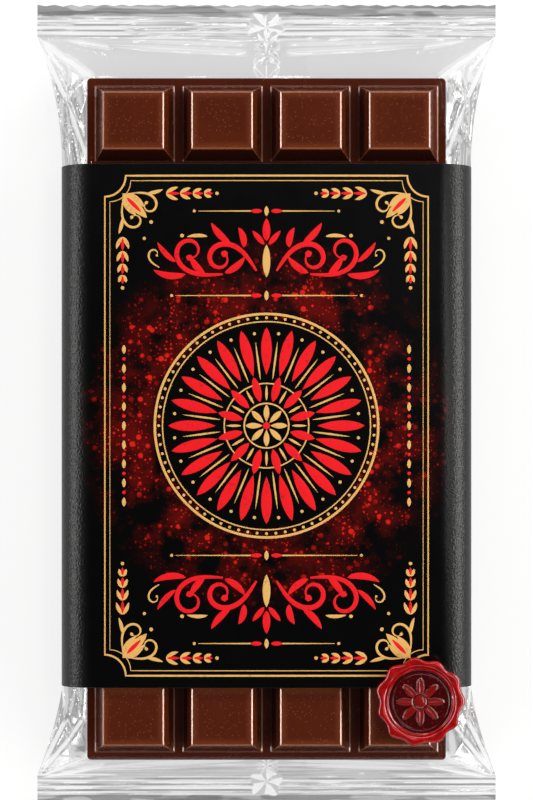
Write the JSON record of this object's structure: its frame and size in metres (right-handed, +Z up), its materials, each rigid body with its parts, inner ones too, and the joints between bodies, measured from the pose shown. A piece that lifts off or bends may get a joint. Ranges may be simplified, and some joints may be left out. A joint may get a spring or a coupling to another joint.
{
  "type": "wrapped chocolate bar",
  "caption": "Moulded dark chocolate bar in a clear flow-wrap film with crimped ends, held in a black printed card sleeve and closed with a red wax seal.",
  "frame": {"origin": "on the table under the middle of the whole pack as it lies on its back", "axes": "+X across the pack's width, +Y along its length towards the top of the sleeve's front, +Z up out of the sleeve's front"},
  "size_m": [0.1024, 0.1792, 0.0148],
  "materials": {
    "dark_chocolate": "satin, as cast in a polished mould",
    "clear_film": "clear and glossy, creased",
    "black_card": "soft-touch black, finely grained",
    "red_wax": "glossy sealing wax",
    "gold_print": "matt gold ink",
    "red_print": "matt red ink"
  },
  "bodies": {
    "root": {"chocolate_bar": "dark_chocolate", "film_wrapper": "clear_film", "card_sleeve": "black_card", "wax_seal": "red_wax"}
  },
  "joints": []
}
